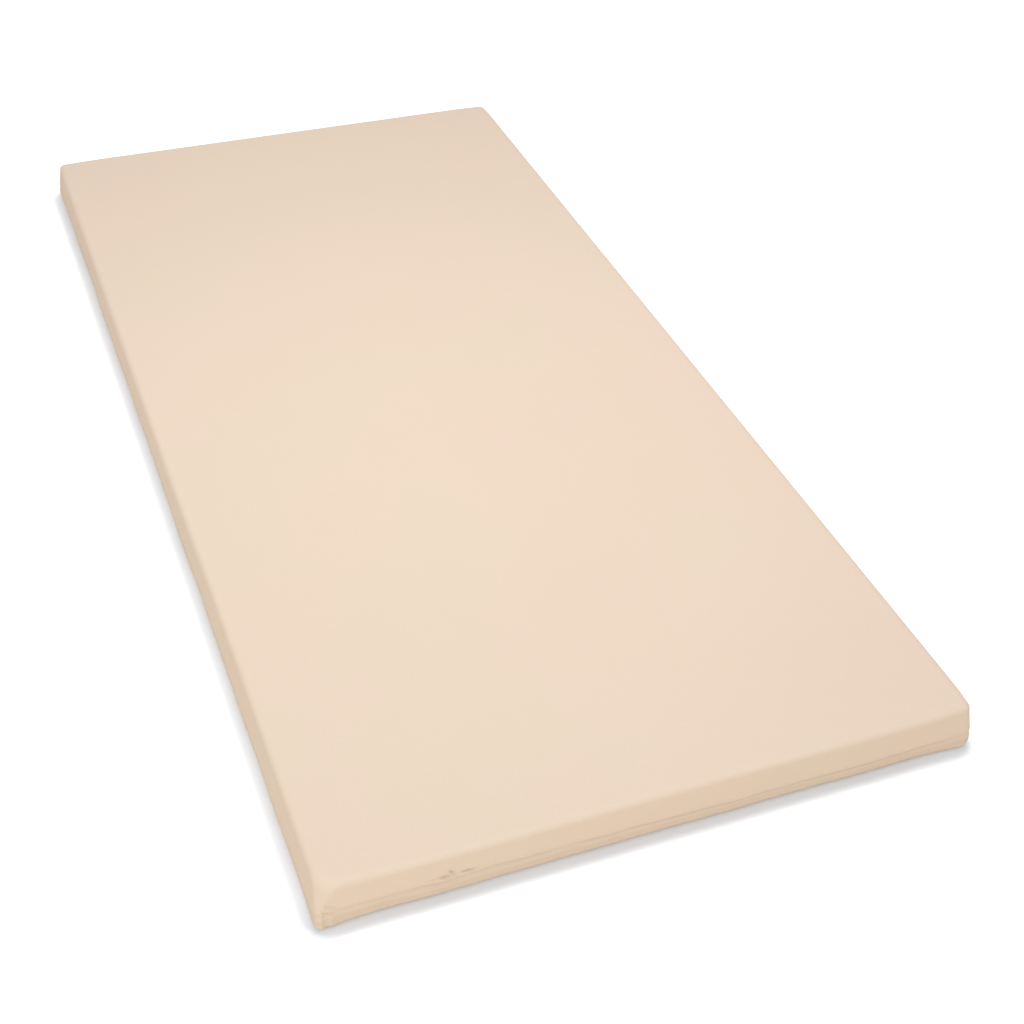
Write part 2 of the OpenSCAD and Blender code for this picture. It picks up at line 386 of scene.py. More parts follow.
def add_piece(name, data, merge=None):
    """Turns the faces of a new mesh outwards, smooths it and adds it to the scene."""
    mesh = bmesh.new()
    mesh.from_mesh(data)
    if merge is not None:
        bmesh.ops.remove_doubles(mesh, verts=mesh.verts, dist=merge)
    bmesh.ops.recalc_face_normals(mesh, faces=mesh.faces)
    mesh.to_mesh(data)
    mesh.free()
    data.shade_smooth()
    data.name = name
    made = bpy.data.objects.new(name, data)
    scene.collection.objects.link(made)
    return made


class Build:
    """Points and faces of one mesh, in millimetres."""

    def __init__(self):
        self.points = []
        self.faces = []

    def ring(self, points):
        first = sum(len(p) for p in self.points)
        self.points.append(np.asarray(points, float))
        return np.arange(first, first + len(points))

    def join(self, a, b, closed=True):
        """Quads between two rows of the same count."""
        n = len(a)
        i = np.arange(n if closed else n - 1)
        j = (i + 1) % n
        self.faces.extend(np.column_stack([a[i], a[j], b[j], b[i]]).tolist())

    def tube(self, rows):
        """A closed tube through rows of points, with flat ends."""
        rings = [self.ring(p) for p in rows]
        for a, b in zip(rings, rings[1:]):
            self.join(a, b)
        self.faces.append(list(rings[0])[::-1])
        self.faces.append(list(rings[-1]))

    def bridge(self, a, b, sa, sb):
        """Triangles between two closed rows of different counts, met by their distances round the outline."""
        i = j = 0
        while i < len(a) or j < len(b):
            next_a = sa[i + 1] if i + 1 < len(a) else ROUND + sa[0]
            next_b = sb[j + 1] if j + 1 < len(b) else ROUND + sb[0]
            if j >= len(b) or (i < len(a) and next_a <= next_b):
                self.faces.append([a[i % len(a)], a[(i + 1) % len(a)], b[j % len(b)]])
                i += 1
            else:
                self.faces.append([a[i % len(a)], b[(j + 1) % len(b)], b[j % len(b)]])
                j += 1

    def fill(self, ring, height, step, inset):
        """Closes a flat side: a net of points inside the ring, at the height given."""
        edge = np.concatenate(self.points)[ring][:, :2]
        reach = edge.max(0) - inset
        counts = np.maximum(2, np.round(2 * reach / step)).astype(int)
        xs, ys = (np.linspace(-r, r, c) for r, c in zip(reach, counts))
        inner = np.array([(x, y) for y in ys for x in xs])
        coords = [Vector(p) for p in np.concatenate([edge, inner])]
        made = geometry.delaunay_2d_cdt(coords, [], [list(range(len(edge)))], 1, 1e-5)
        net = self.ring(np.column_stack([inner, height(inner)]))
        old = np.concatenate([ring, net])
        index = [old[o[0]] for o in made[3]]
        self.faces.extend([[index[v] for v in f] for f in made[2]])

    def mesh(self, name):
        data = bpy.data.meshes.new(name)
        data.from_pydata((np.concatenate(self.points) * MM).tolist(), [], self.faces)
        return add_piece(name, data)


FLAT_START = 16.0
INNER_START = 16.2
RIM_TURN = 0.45
RIM_RISE = 0.9


def shell(name, rim, up, out, flat, edge_r, side_rows, net, cloth=CLOTH, lip=1.0, zipped=True,
          inner=(0, 0.35, 0.7, 1)):
    """Half of a case: a cloth from its rim, over the rounded edge to the flat face, and back inside."""
    s = grid_columns()[:: 1 if zipped else 3]
    few = s[:: 3 if zipped else 1]
    slot = (opening(s) > 0) & zipped
    lip = np.where(slot, TAPE_FRONT, lip)
    rim_z = rim(s)
    build = Build()
    rows = []

    def flat_r(s):
        return np.maximum(CORNER, corner_radius(s, HEIGHT if up > 0 else 0))

    def edge_z(s):
        return flat(place(s, 0, -edge_r(s), flat_r(s))[:, :2]) - up * edge_r(s)

    round_r = edge_r(s)
    for inset in (FLAT_START, FLAT_START - 1):
        p = place(s, 0, -inset, flat_r(s))
        p[:, 2] = flat(p[:, :2])
        rows.append(p)
    side_top = edge_z(s)
    for angle in np.linspace(90, 0, 10)[:-1]:
        a = math.radians(angle)
        z = side_top + up * round_r * math.sin(a)
        radius = corner_radius(s, z) * math.cos(a) + flat_r(s) * (1 - math.cos(a))
        rows.append(place(s, z, out(s, side_top) - round_r * (1 - math.cos(a)), radius))
    for t in 1 - np.linspace(1, 0, side_rows) ** 1.5:
        z = side_top + (rim_z + up * RIM_RISE - side_top) * t
        rows.append(place(s, z, out(s, z)))
    base = out(s, rim_z + up * RIM_RISE)
    for depth, rise in ((0.15, 0.3), (RIM_TURN, 0.0)):
        rows.append(place(s, rim_z + up * rise, base - depth))
    straight = np.where(slot, 0, base) if up > 0 else np.where(slot, -LOWER_IN, base)
    for share, rise in ((0.5, 0.0), (0.9, 0.0), (1.0, 0.4), (0.9, 0.8), (0.3, RIM_RISE)):
        depth = RIM_TURN + (lip + (straight if up < 0 else 0) * slot - RIM_TURN) * share
        rows.append(place(s, rim_z + up * rise, base - depth))
    rings = [build.ring(p) for p in rows]
    for a, b in zip(rings, rings[1:]):
        build.join(a, b)
    build.fill(rings[0], flat, net, 14)

    inner_top = edge_z(few)
    inner_rows = []
    for t in inner:
        z = rim(few) + up * 3 + (inner_top - rim(few) - up * 3) * t
        spare = slack(few) * loose(few) * (1 - smooth(t, 0.35, 1)) * (cloth == CLOTH)
        inner_rows.append(place(few, z, out(few, z) - spare - cloth))
    for angle in (35, 65, 90):
        a = math.radians(angle)
        r = edge_r(few) - cloth
        z = inner_top + up * r * math.sin(a)
        depth = cloth + r * (1 - math.cos(a))
        inner_rows.append(place(few, z, out(few, inner_top) - depth, flat_r(few)))
    last = place(few, 0, -INNER_START, flat_r(few))
    last[:, 2] = flat(last[:, :2]) - up * cloth
    inner_rows.append(last)
    inner_rings = [build.ring(p) for p in inner_rows]
    build.bridge(rings[-1], inner_rings[0], s, few)
    for a, b in zip(inner_rings, inner_rings[1:]):
        build.join(a, b)
    build.fill(inner_rings[-1], lambda xy: flat(xy) - up * cloth, 2 * net, 20)
    return build.mesh(name)


def slab(name, low, high, below, above):
    """A layer of the core between two heights, with edges rounded by the radii given for below and above."""
    s = grid_columns()[::3]
    build = Build()
    rings = []
    ends = []

    def side(z):
        return core_out(s, z) - LINER_CLOTH - FIT

    for up, flat, r in ((-1, low, below(s)), (1, high, above(s))):
        r = r * np.ones(len(s))
        top = flat(place(s, 0, -r)[:, :2]) - up * r
        flat_r = np.maximum(CORNER, corner_radius(s, top))
        half = []
        for angle in np.linspace(0, 90, 7):
            a = math.radians(angle)
            radius = corner_radius(s, top) * math.cos(a) + flat_r * (1 - math.cos(a))
            half.append(place(s, top + up * r * math.sin(a), side(top) - r * (1 - math.cos(a)), radius))
        p = place(s, 0, -INNER_START, flat_r)
        p[:, 2] = flat(p[:, :2])
        half.append(p)
        rings.append([build.ring(p) for p in half])
        ends.append(top)
    between = ends[1] - ends[0]
    steps = np.linspace(0, 1, 14)[1:-1] if np.min(between) > 5 else []
    middle = [build.ring(place(s, z, side(z))) for z in (ends[0] + between * t for t in steps)]
    order = rings[0][::-1] + middle + rings[1]
    for a, b in zip(order, order[1:]):
        build.join(a, b)
    build.fill(order[0], low, 40, 30)
    build.fill(order[-1], high, 40, 30)
    return build.mesh(name)


def band(name, s, low, high, out, inner, outer, rows=8, closed=False):
    """A strip of cloth along the outline, between two heights and between two depths from a surface."""
    build = Build()
    sides = []
    for depth in (outer, inner):
        heights = [low + (high - low) * t for t in np.linspace(0, 1, rows)]
        sides.append([build.ring(place(s, z, out(s, z) + depth)) for z in heights])
    front, back = sides
    order = front + back[::-1] + [front[0]]
    for a, b in zip(order, order[1:]):
        build.join(a, b, closed)
    if not closed:
        for end in (0, -1):
            build.join(np.array([r[end] for r in front]), np.array([r[end] for r in back]), False)
    return build.mesh(name)


# ---- materials ----

class NodeTree:
    """Short ways to add to a node tree."""

    def __init__(self, tree):
        self.tree = tree

    def add(self, kind, inputs=None, **values):
        """A new node, with the values of its inputs and its settings."""
        node = self.tree.nodes.new(kind)
        for name, value in values.items():
            setattr(node, name, value)
        for name, value in (inputs or {}).items():
            node.inputs[name].default_value = value
        return node

    def link(self, a, b):
        self.tree.links.new(a, b)

    def maths(self, operation, a, b):
        node = self.add("ShaderNodeMath", operation=operation)
        for i, value in enumerate((a, b)):
            if isinstance(value, (int, float)):
                node.inputs[i].default_value = value
            else:
                self.link(value, node.inputs[i])
        return node.outputs[0]


class Nodes(NodeTree):
    """A material's node tree."""

    def __init__(self, name):
        self.material = bpy.data.materials.new(name)
        self.material.use_nodes = True
        super().__init__(self.material.node_tree)
        self.shader = self.tree.nodes["Principled BSDF"]
        self.where = self.add("ShaderNodeTexCoord").outputs["Object"]

    def set(self, **values):
        for name, value in values.items():
            self.shader.inputs[name.replace("_", " ")].default_value = value

    def noise(self, scale, detail=2.0, stretch=None):
        node = self.add("ShaderNodeTexNoise", {"Scale": scale, "Detail": detail})
        where = self.where
        if stretch:
            mapping = self.add("ShaderNodeMapping", {"Scale": stretch})
            self.link(where, mapping.inputs["Vector"])
            where = mapping.outputs["Vector"]
        self.link(where, node.inputs["Vector"])
        return node.outputs["Fac"]

    def cells(self, scale):
        node = self.add("ShaderNodeTexVoronoi", {"Scale": scale})
        self.link(self.where, node.inputs["Vector"])
        return node.outputs["Distance"]

    def openness(self, distance):
        """1 on an open face, and less in folds and near the floor."""
        return self.add("ShaderNodeAmbientOcclusion", {"Distance": distance}, samples=8).outputs["AO"]

    def sine(self, value, turns):
        return self.maths("SINE", self.maths("MULTIPLY", value, turns), 0)

    def grey(self, value):
        node = self.add("ShaderNodeCombineColor")
        for channel in ("Red", "Green", "Blue"):
            self.link(value, node.inputs[channel])
        return node.outputs["Color"]

    def ramp(self, factor, *stops):
        node = self.add("ShaderNodeValToRGB")
        while len(node.color_ramp.elements) < len(stops):
            node.color_ramp.elements.new(0.5)
        for element, (at, color) in zip(node.color_ramp.elements, stops):
            element.position = at
            element.color = (*color, 1)
        self.link(factor, node.inputs["Fac"])
        return node.outputs["Color"]

    def mix(self, factor, a, b, blend="MIX"):
        node = self.add("ShaderNodeMix", data_type="RGBA", blend_type=blend)
        for i, value in ((0, factor), (6, a), (7, b)):
            if isinstance(value, (int, float, tuple)):
                node.inputs[i].default_value = value if isinstance(value, (int, float)) else (*value, 1)
            else:
                self.link(value, node.inputs[i])
        return node.outputs[2]

    def scaled(self, factor, low, high, start=0, end=1):
        """Takes the factor's range from start to end onto low to high."""
        node = self.add("ShaderNodeMapRange", {"From Min": start, "From Max": end, "To Min": low,
                                               "To Max": high})
        self.link(factor, node.inputs["Value"])
        return node.outputs["Result"]

    def bump(self, height, distance, strength=1.0, under=None):
        node = self.add("ShaderNodeBump", {"Distance": distance, "Strength": strength})
        self.link(height, node.inputs["Height"])
        if under is not None:
            self.link(under, node.inputs["Normal"])
        self.link(node.outputs["Normal"], self.shader.inputs["Normal"])
        return node.outputs["Normal"]

    def color(self, socket):
        self.link(socket, self.shader.inputs["Base Color"])

    def roughness(self, socket):
        self.link(socket, self.shader.inputs["Roughness"])


WHITE = (1, 1, 1)
CLOTH_PEACH = (0.850, 0.692, 0.552)
CLOTH_PINK = (0.857, 0.687, 0.555)
CLOTH_SAND = (0.843, 0.700, 0.552)
THREAD_PEACH = (0.88, 0.74, 0.60)
TAPE_SAND = (0.76, 0.63, 0.50)
COIL_SAND = (0.72, 0.59, 0.46)
METAL_GREY = (0.46, 0.455, 0.44)
LINER_WHITE = (0.87, 0.87, 0.84)
MEMORY_CREAM = (0.88, 0.80, 0.60)
SUPPORT_BLUE = (0.70, 0.75, 0.78)
GLUE_AMBER = (0.74, 0.62, 0.34)


def weave(nodes, pitch, depth, under=None):
    """The small loops of a knit: rows across and along on a flat face, and along and up on an upright one."""
    part = nodes.add("ShaderNodeSeparateXYZ")
    nodes.link(nodes.where, part.inputs[0])
    x, y, z = part.outputs
    facing = nodes.add("ShaderNodeSeparateXYZ")
    nodes.link(nodes.add("ShaderNodeNewGeometry").outputs["Normal"], facing.inputs[0])
    upright = nodes.maths("LESS_THAN", nodes.maths("ABSOLUTE", facing.outputs[2], 0), 0.7)
    turns = 2 * math.pi / pitch
    flat = nodes.maths("MULTIPLY", nodes.sine(x, turns), nodes.sine(y, turns))
    side = nodes.maths("MULTIPLY", nodes.sine(nodes.maths("ADD", x, y), turns), nodes.sine(z, turns))
    loops = nodes.add("ShaderNodeMix")
    for i, value in enumerate((upright, None, flat, side)):
        if value is not None:
            nodes.link(value, loops.inputs[i])
    return nodes.bump(loops.outputs[0], depth, 1.0, under)


def cover_material():
    nodes = Nodes("cover_cloth")
    nodes.set(Sheen_Weight=0.03, Sheen_Roughness=0.4, Specular_IOR_Level=0.25)
    blotch = nodes.ramp(nodes.noise(3.2, 2.5), (0.30, CLOTH_SAND), (0.5, CLOTH_PEACH), (0.70, CLOTH_PINK))
    fleck = nodes.scaled(nodes.noise(520, 3.0), 0.965, 1.035)
    flecked = nodes.mix(1.0, blotch, nodes.grey(fleck), "MULTIPLY")
    # painted shade: an occlusion ramp darkens the cloth's colour low on the sides near the floor, with a
    # slight painted light where the edge rolls under
    painted_shade_near_floor = nodes.ramp(nodes.openness(0.03), (0.5, (1.06, 1.06, 1.06)), (0.66, (0.98, 0.98, 0.98)),
                        (0.8, (0.90, 0.895, 0.89)), (0.93, (0.95, 0.95, 0.95)), (1.0, WHITE))
    # painted shade: a short occlusion ramp darkens the cloth's colour in the small folds and creases
    folds = nodes.ramp(nodes.openness(0.006), (0.4, (0.80, 0.775, 0.75)), (0.65, (0.90, 0.885, 0.87)),
                       (0.92, WHITE))
    shaded = nodes.mix(1.0, flecked, painted_shade_near_floor, "MULTIPLY")
    nodes.color(nodes.mix(1.0, shaded, folds, "MULTIPLY"))
    nodes.roughness(nodes.scaled(nodes.noise(45, 3.0), 0.66, 0.80))
    drape = nodes.bump(nodes.noise(26, 3.0), 0.0012, 0.35)
    weave(nodes, 0.0009, 0.00003, drape)
    return nodes.material


def cloth_like(name, color, fleck_scale, pitch, depth, roughness=(0.65, 0.8)):
    """A plain weave or thread, with its flecks and loops at the scales given."""
    nodes = Nodes(name)
    nodes.set(Sheen_Weight=0.08, Specular_IOR_Level=0.35)
    fleck = nodes.scaled(nodes.noise(fleck_scale, 3.0), 0.92, 1.06)
    nodes.color(nodes.mix(1.0, color, nodes.grey(fleck), "MULTIPLY"))
    nodes.roughness(nodes.scaled(nodes.noise(60, 2.0), *roughness))
    weave(nodes, pitch, depth)
    return nodes.material


def foam_material(name, color, cell):
    """Open-cell foam: pores in two sizes over a slightly mottled colour."""
    nodes = Nodes(name)
    nodes.set(Specular_IOR_Level=0.2)
    pores = nodes.maths("ADD", nodes.cells(1 / cell), nodes.cells(0.45 / cell))
    shade = nodes.scaled(nodes.noise(18, 3.0), 0.94, 1.04)
    shade = nodes.maths("MULTIPLY", shade, nodes.scaled(pores, 0.9, 1.05))
    nodes.color(nodes.mix(1.0, color, nodes.grey(shade), "MULTIPLY"))
    nodes.roughness(nodes.scaled(nodes.noise(80, 2.0), 0.8, 0.95))
    nodes.bump(pores, cell * 0.4, 0.6)
    return nodes.material


def metal_material():
    nodes = Nodes("zip_metal")
    nodes.set(Metallic=1.0)
    nodes.color(nodes.ramp(nodes.noise(900, 3.0, (1, 0.12, 1)), (0.3, METAL_GREY), (0.8, (0.58, 0.57, 0.55))))
    nodes.roughness(nodes.scaled(nodes.noise(700, 3.0, (1, 0.15, 1)), 0.24, 0.42))
    nodes.bump(nodes.noise(1500, 2.0, (1, 0.1, 1)), 0.00002, 0.5)
    return nodes.material


def coil_material():
    nodes = Nodes("zip_coil")
    nodes.set(Specular_IOR_Level=0.5)
    shade = nodes.scaled(nodes.noise(240, 2.0), 0.94, 1.05)
    nodes.color(nodes.mix(1.0, COIL_SAND, nodes.grey(shade), "MULTIPLY"))
    nodes.roughness(nodes.scaled(nodes.noise(300, 2.0), 0.32, 0.46))
    nodes.bump(nodes.noise(2500, 2.0), 0.00003, 0.4)
    return nodes.material


def glue_material():
    nodes = Nodes("glue")
    nodes.set(Specular_IOR_Level=0.5)
    nodes.color(nodes.mix(nodes.noise(60, 3.0), GLUE_AMBER, (0.82, 0.72, 0.46)))
    nodes.roughness(nodes.scaled(nodes.noise(120, 2.0), 0.3, 0.6))
    nodes.bump(nodes.noise(300, 3.0), 0.0002, 0.6)
    return nodes.material


MATERIALS = {
    "cover_cloth": cover_material(),
    "thread": cloth_like("thread", THREAD_PEACH, 1500, 0.0003, 0.00001),
    "zip_tape": cloth_like("zip_tape", TAPE_SAND, 900, 0.0007, 0.00010),
    "zip_coil": coil_material(),
    "zip_metal": metal_material(),
    "liner_knit": cloth_like("liner_knit", LINER_WHITE, 400, 0.0012, 0.00020, (0.75, 0.9)),
    "memory_foam": foam_material("memory_foam", MEMORY_CREAM, 0.0009),
    "glue": glue_material(),
    "support_foam": foam_material("support_foam", SUPPORT_BLUE, 0.0014),
}


def finish(piece, body, slot, replaced=()):
    """Paints a piece, says which body it rides on, and hides the CAD parts that it stands for."""
    piece.data.materials.clear()
    piece.data.materials.append(MATERIALS[slot])
    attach(piece, body)
    if replaced:
        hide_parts(*replaced)
    return piece


# ---- the cover ----

upper = shell("cover_top_cloth", upper_rim, 1, upper_out, top_height, top_radius, side_rows=32, net=26)
finish(upper, BODY, "cover_cloth", ["cover_top"])
lower = shell("cover_bottom_cloth", lower_rim, -1, lower_out, level(0), bottom_radius,
              side_rows=14, net=60)
finish(lower, BODY, "cover_cloth", ["cover_bottom"])


# ---- sewing ----

def unit(vectors):
    return vectors / np.linalg.norm(vectors, axis=1)[:, None]


def surface(s, z, out):
    """Points on the cover at places s and heights z, with the directions along it and out of it."""
    here = place(s, z, out(s, z))
    along = unit(place(s + 0.5, z, out(s + 0.5, z)) - here)
    outward = np.column_stack([columns(s)[1], np.zeros(len(s))])
    outward = unit(outward - along * np.sum(outward * along, 1)[:, None])
    return here, along, outward


def stitches(name, here, along, outward, length, radius):
    """A row of short threads, each bowed a little off the cloth and sunk at both ends."""
    sides, rings = 6, 5
    turns = 2 * math.pi * np.arange(sides) / sides
    up = np.cross(along, outward)
    build = Build()
    rows = []
    for t in np.linspace(-1, 1, rings):
        thick = radius * (1 - 0.55 * t * t)
        lift = radius * (0.55 - 1.1 * t * t)
        middle = here + along * (t * length / 2) + outward * lift
        rows.append([middle + thick * (math.cos(a) * outward + math.sin(a) * up) for a in turns])
    for i in range(len(here)):
        build.tube([np.array([side[i] for side in row]) for row in rows])
    return build.mesh(name)


STITCH = 2.7
PITCH = 3.6
THREAD = 0.22
SEW_UP = 3.0
SEW_BESIDE = 2.6


def hem_row(name, start, end, node):
    s = np.arange(start + PITCH / 2, end, PITCH)
    here, along, outward = surface(s, hem_height(s) + SEW_UP, upper_out)
    finish(stitches(name, here, along, outward, STITCH, THREAD), BODY, "thread", [node])


def starts(k):
    """Where side k of the mattress starts, round the outline, and where it ends."""
    start = sum(RUNS[i % 2] + ARC for i in range(k))
    return start, start + RUNS[k % 2]


for k, side in ((0, "foot"), (2, "head"), (3, "left")):
    low, high = starts(k)
    hem_row("hem_thread_" + side, low - ARC / 2, high + ARC / 2, "hem_stitch_" + side)


def right_rows():
    """The hem's thread beyond the zip, and the line that follows the zip's opening."""
    low, high = starts(1)
    gap = SLOT_END + 4
    s = np.concatenate([np.arange(low - ARC / 2 + PITCH / 2, RIGHT_MIDDLE - gap, PITCH),
                        np.arange(RIGHT_MIDDLE + gap, high + ARC / 2, PITCH)])
    beside = np.arange(RIGHT_MIDDLE - SLOT_END + 3, RIGHT_MIDDLE + SLOT_END - 3, PITCH)
    away = SLOT_HALF + SEW_BESIDE + 0 * beside
    rows = [surface(s, hem_height(s) + SEW_UP, upper_out), surface(beside, ZIP_Z + away, upper_out),
            surface(beside, ZIP_Z - away, lower_out)]
    here, along, outward = (np.concatenate(p) for p in zip(*rows))
    return stitches("hem_thread_right", here, along, outward, STITCH, THREAD)


finish(right_rows(), BODY, "thread", ["hem_stitch_right"])


# ---- the zip ----

def plate(name, outline, holes, x_low, x_high, bevel):
    """A flat piece facing +X: its outline and holes as (y, z) points, its thickness from x_low to x_high."""
    curve = bpy.data.curves.new(name, "CURVE")
    curve.dimensions = "2D"
    curve.fill_mode = "BOTH"
    curve.extrude = ((x_high - x_low) / 2 - bevel) * MM
    curve.bevel_depth = bevel * MM
    curve.bevel_resolution = 2
    curve.offset = -bevel * MM
    for points in (outline, *holes):
        spline = curve.splines.new("POLY")
        spline.points.add(len(points) - 1)
        for at, (y, z) in zip(spline.points, points):
            at.co = (y * MM, z * MM, 0, 1)
        spline.use_cyclic_u = True
    holder = bpy.data.objects.new(name + "_outline", curve)
    scene.collection.objects.link(holder)
    bpy.context.view_layer.update()
    data = bpy.data.meshes.new_from_object(holder.evaluated_get(bpy.context.evaluated_depsgraph_get()))
    bpy.data.objects.remove(holder)
    co = np.zeros(len(data.vertices) * 3)
    data.vertices.foreach_get("co", co)
    co = co.reshape(-1, 3)
    co = np.column_stack([co[:, 2] + (x_low + x_high) / 2 * MM, co[:, 0], co[:, 1]])
    data.vertices.foreach_set("co", co.ravel())
    return add_piece(name, data, merge=1e-6)


def rounded(y0, y1, z0, z1, r, steps=6):
    """Points round a rectangle with rounded corners."""
    points = []
    for k, (y, z) in enumerate(((y1 - r, z1 - r), (y0 + r, z1 - r), (y0 + r, z0 + r), (y1 - r, z0 + r))):
        for a in np.radians(np.linspace(90 * k, 90 * k + 90, steps)):
            points.append((y + r * math.cos(a), z + r * math.sin(a)))
    return points


def mirrored(half, size):
    """An outline from its upper half: (y, share of size) points, mirrored about the zip's middle."""
    return [(y, ZIP_Z + size * z) for y, z in half] + [(y, ZIP_Z - size * z) for y, z in half[::-1]]


def joined(name, pieces):
    """Several pieces made into one."""
    with bpy.context.temp_override(active_object=pieces[0], selected_editable_objects=pieces):
        bpy.ops.object.join()
    pieces[0].name = name
    pieces[0].data.name = name
    return pieces[0]


def strip(name, section, ys):
    """A long piece beside the zip: its section as (x, z) points, repeated at each y."""
    build = Build()
    build.tube([[(x, y, z) for x, z in section] for y in ys])
    return build.mesh(name)


def tape(up):
    """Woven tape: thicker along its outer edge and beside the coil."""
    low, high = box_mm("zip_tape_upper")
    edge_in, edge_out = (ZIP_Z + up * (z - ZIP_Z) for z in (low[2], high[2]))
    across = np.linspace(0, 1, 13)
    thin = np.where((across == 0) | (across == 1), 0.15, 0)
    z = edge_in + (edge_out - edge_in) * across
    front = list(zip(high[0] - 0.1 + 0.06 * np.cos(across * math.pi * 8) - thin, z))
    back = list(zip(low[0] + thin, z))[::-1]
    name = "zip_tape_cloth_" + ("upper" if up > 0 else "lower")
    return strip(name, front + back, np.arange(low[1], high[1] + 1, 12.67))


COIL_PITCH = 1.35
COIL_WIRE = 0.31


def coil(up):
    """One row of the zip: a nylon thread wound in flat loops, its heads towards the other row."""
    low, high = box_mm("zip_coil_upper" if up > 0 else "zip_coil_lower")
    outer = max(abs(low[2] - ZIP_Z), abs(high[2] - ZIP_Z)) - COIL_WIRE
    head = 0.27 + COIL_WIRE
    middle, reach = (outer + head) / 2, (outer - head) / 2
    deep = (high[0] - low[0]) / 2 - COIL_WIRE
    per_turn, sides = 10, 5
    turns = int((high[1] - low[1] - 2 * COIL_WIRE) / COIL_PITCH)
    t = np.arange(turns * per_turn + 1) * 2 * math.pi / per_turn
    start = low[1] + COIL_WIRE + (0 if up > 0 else COIL_PITCH / 2)
    across = np.sign(np.cos(t)) * np.abs(np.cos(t)) ** 0.7
    depth = np.sign(np.sin(t)) * np.abs(np.sin(t)) ** 0.8
    path = np.column_stack([
        (low[0] + high[0]) / 2 + deep * depth,
        np.minimum(start + COIL_PITCH * (t / (2 * math.pi) + 0.08 * np.cos(t)), high[1] - COIL_WIRE),
        ZIP_Z + up * (middle + reach * across),
    ])
    along = unit(np.gradient(path, axis=0))
    side = unit(np.cross(along, (0, 1, 0)))
    other = np.cross(along, side)
    build = Build()
    angles = 2 * math.pi * np.arange(sides) / sides
    rings = np.stack([path + COIL_WIRE * (math.cos(a) * side + math.sin(a) * other) for a in angles], 1)
    all_of = build.ring(rings.reshape(-1, 3)).reshape(-1, sides)
    for k in range(sides):
        a, b = all_of[:, k], all_of[:, (k + 1) % sides]
        build.faces.extend(np.column_stack([a[:-1], b[:-1], b[1:], a[1:]]).tolist())
    build.faces.append(list(all_of[0])[::-1])
    build.faces.append(list(all_of[-1]))
    return build.mesh("zip_coil_loops_" + ("upper" if up > 0 else "lower"))


for up, side in ((1, "upper"), (-1, "lower")):
    finish(tape(up), BODY, "zip_tape", ["zip_tape_" + side])
    finish(coil(up), BODY, "zip_coil", ["zip_coil_" + side])


def line(x, ys, z):
    """Points along the zip at each y."""
    return np.column_stack([x + 0 * ys, ys, z + 0 * ys])


def straight_row(name, ys, x, z, towards):
    """Stitches in a straight line beside the zip."""
    here = line(x, ys, z)
    along = np.tile((0.0, 1.0, 0.0), (len(ys), 1))
    outward = np.tile((float(towards), 0.0, 0.0), (len(ys), 1))
    return stitches(name, here, along, outward, STITCH, THREAD)


for side in ("upper", "lower"):
    low, high = box_mm("zip_stitch_" + side)
    ys = np.arange(low[1] + 2, high[1] - 1, PITCH)
    row = straight_row("zip_thread_" + side, ys, high[0], (low[2] + high[2]) / 2, -1)
    finish(row, BODY, "thread", ["zip_stitch_" + side])


def stops(name, heights):
    """Metal clips pressed over the ends of the rows, between heights from the zip's middle."""
    low, high = box_mm(name)
    made = []
    for k, (z0, z1) in enumerate(heights):
        outline = rounded(low[1], high[1], ZIP_Z + z0, ZIP_Z + z1, 0.5)
        made.append(plate(f"{name}_clip_{k}", outline, [], low[0], high[0], 0.3))
    finish(joined(name + "_clips", made), BODY, "zip_metal", [name])


ROW_IN, ROW_OUT = COIL_LOW[2] - ZIP_Z, COIL_HIGH[2] - ZIP_Z
stops("zip_top_stops", [(ROW_IN, ROW_OUT), (-ROW_OUT, -ROW_IN)])
stops("zip_bottom_stop", [(-ROW_OUT, ROW_OUT)])


def end_patch(end):
    """A small pad of cover cloth sewn over the tapes' ends, with its edges turned under."""
    node = "zip_end_patch_" + end
    low, high = box_mm(node)
    ys = np.linspace(low[1], high[1], 22)
    zs = np.linspace(low[2], high[2], 12)
    build = Build()
    rows = []
    for z in zs:
        v = (z - low[2]) / (high[2] - low[2]) * 2 - 1
        u = (ys - low[1]) / (high[1] - low[1]) * 2 - 1
        swell = (1 - np.abs(u) ** 6) * (1 - abs(v) ** 6)
        seam = 0.16 * (bump(np.abs(u), 0.84, 0.05) + bump(abs(v), 0.7, 0.1) * (np.abs(u) < 0.84))
        rows.append(build.ring(line(high[0] - 0.35 * (1 - swell) - seam, ys, z)))
    back = [build.ring(line(low[0], ys, z)) for z in zs]
    for group in (rows, back):
        for a, b in zip(group, group[1:]):
            build.join(a, b, closed=False)
    for k in (0, -1):
        build.join(rows[k], back[k], closed=False)
    for k in (0, -1):
        build.join(np.array([r[k] for r in rows]), np.array([r[k] for r in back]), closed=False)
    piece = finish(build.mesh("zip_end_cloth_" + end), BODY, "cover_cloth", [node])
    ys = np.arange(low[1] + 3.2, high[1] - 2, PITCH)
    sewn = [straight_row(f"zip_end_thread_{end}_{k}", ys, high[0] - 0.2, z, 1)
            for k, z in enumerate((low[2] + 1.7, high[2] - 1.7))]
    finish(joined("zip_end_thread_" + end, sewn), BODY, "thread")


for end in ("head", "foot"):
    end_patch(end)


